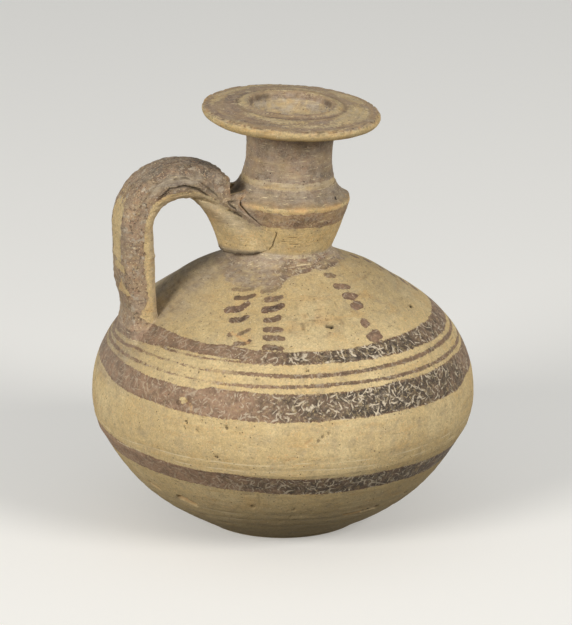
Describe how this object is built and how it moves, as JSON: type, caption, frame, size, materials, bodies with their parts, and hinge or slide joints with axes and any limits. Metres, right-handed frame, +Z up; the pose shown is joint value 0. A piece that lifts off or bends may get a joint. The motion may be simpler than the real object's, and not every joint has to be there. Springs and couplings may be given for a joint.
{
  "type": "juglet",
  "caption": "Small round-bellied clay juglet with a flat base, ridged narrow neck, broad disc rim and strap handle, painted with dark bands, for pouring oil or scent.",
  "frame": {"origin": "centre of the flat base, on the surface that the juglet stands on", "axes": "+Z up the body's axis, -X towards the handle, so the XZ plane is the mirror plane of the shape"},
  "size_m": [0.0958, 0.0958, 0.107],
  "materials": {
    "body_clay": "matt fired clay with a pale slip, dark painted bands and wear",
    "neck_clay": "matt fired clay, worn brown slip over buff",
    "handle_clay": "matt fired clay, worn brown slip on the strap's outer face",
    "luting_clay": "rough smeared clay, matt"
  },
  "bodies": {
    "root": {"lower_body": "body_clay", "upper_body": "body_clay", "neck_cup": "neck_clay", "neck_tube": "neck_clay", "mouth_disc": "neck_clay", "handle_strap": "handle_clay", "neck_luting": "luting_clay", "ridge_luting": "luting_clay", "handle_root_luting": "luting_clay", "handle_foot_luting": "luting_clay"}
  },
  "joints": []
}
